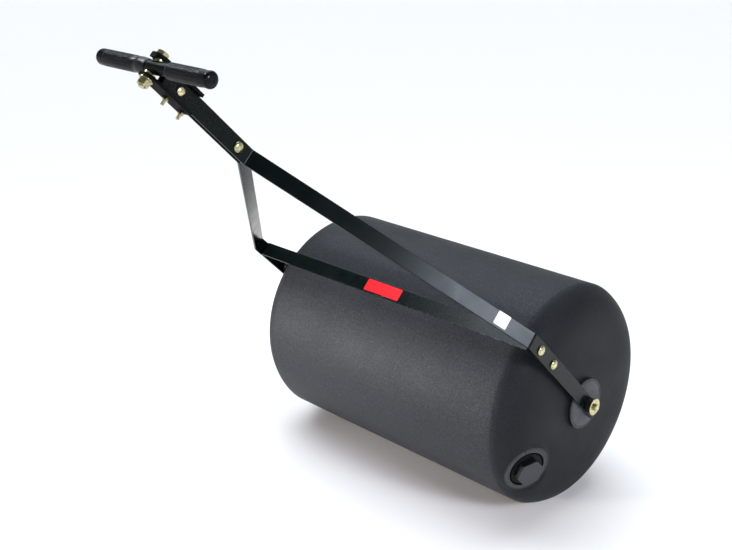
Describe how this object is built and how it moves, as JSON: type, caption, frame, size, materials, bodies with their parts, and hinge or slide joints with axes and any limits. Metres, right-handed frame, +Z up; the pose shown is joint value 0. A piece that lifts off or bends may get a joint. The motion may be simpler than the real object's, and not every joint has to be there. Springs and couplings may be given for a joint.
{
  "type": "lawn roller",
  "caption": "Hollow poly lawn roller drum with domed ends and a screwed fill plug, turning in an A-shaped frame of flat straps with a T-handle.",
  "frame": {"origin": "on the ground under the middle of the drum's axle", "axes": "+Z up, Y along the axle with +Y to the left of a person at the handle, the handle rising at 45 degrees towards -X"},
  "size_m": [0.9587, 0.7764, 0.9549],
  "materials": {
    "drum_plastic": "charcoal rotomoulded polyethylene with a fine grain",
    "plug_plastic": "moulded polyethylene",
    "black_paint": "black satin powder coat",
    "yellow_zinc": "yellow passivated zinc plate",
    "steel": "bright drawn steel",
    "black_nylon": "black nylon",
    "grip_rubber": "ribbed black rubber",
    "gloss_black": "glossy black moulding",
    "red_label": "blank red vinyl label",
    "white_label": "blank white vinyl label"
  },
  "bodies": {
    "frame": {"arm_left": "black_paint", "arm_right": "black_paint", "arm_bush_left": "black_nylon", "arm_bush_right": "black_nylon", "crossbar": "black_paint", "crossbar_bolt_left_lower": "yellow_zinc", "crossbar_bolt_left_upper": "yellow_zinc", "crossbar_bolt_right_lower": "yellow_zinc", "crossbar_bolt_right_upper": "yellow_zinc", "crossbar_nut_left_lower": "yellow_zinc", "crossbar_nut_left_upper": "yellow_zinc", "crossbar_nut_right_lower": "yellow_zinc", "crossbar_nut_right_upper": "yellow_zinc", "tongue_bolt_rear": "yellow_zinc", "tongue_bolt_front": "yellow_zinc", "tongue_nut_rear": "yellow_zinc", "tongue_nut_front": "yellow_zinc", "tongue_spacer_rear": "yellow_zinc", "tongue_spacer_front": "yellow_zinc", "hitch_plate_lower": "black_paint", "hitch_plate_upper": "black_paint", "hitch_bolt_rear": "yellow_zinc", "hitch_bolt_front": "yellow_zinc", "hitch_nut_rear": "yellow_zinc", "hitch_nut_front": "yellow_zinc", "handle_tube": "black_paint", "grip_left": "grip_rubber", "grip_right": "grip_rubber", "end_cap_left": "gloss_black", "end_cap_right": "gloss_black", "handle_bolt": "yellow_zinc", "handle_nut": "yellow_zinc", "handle_washer_outer": "yellow_zinc", "handle_saddle_upper": "yellow_zinc", "handle_saddle_lower": "yellow_zinc", "label_red": "red_label", "label_white": "white_label"},
    "drum": {"drum_shell": "drum_plastic", "axle_rod": "steel", "hub_spacer_left": "yellow_zinc", "hub_spacer_right": "yellow_zinc", "axle_washer_left": "yellow_zinc", "axle_washer_right": "yellow_zinc", "axle_bolt_left": "yellow_zinc", "axle_bolt_right": "yellow_zinc"},
    "seal": {"plug_seal": "black_nylon"},
    "plug": {"fill_plug": "plug_plastic"}
  },
  "joints": [
    {"name": "drum_spin", "type": "hinge", "parent": "frame", "child": "drum", "pos_m": [0, 0, 0.22829], "axis": [0, -1, 0], "continuous": true},
    {"name": "plug_travel", "type": "slide", "parent": "drum", "child": "seal", "axis": [-0.326, -0.9272, -0.1845], "range_m": [0, 0.0281]},
    {"name": "plug_turn", "type": "hinge", "parent": "seal", "child": "plug", "pos_m": [-0.15492, -0.3388, 0.14064], "axis": [-0.326, -0.9272, -0.1845], "range_deg": [0, 2520]}
  ],
  "couplings": [
    {"joint": "plug_travel", "follows": "plug_turn", "m_per_rad": 0.00063662}
  ]
}
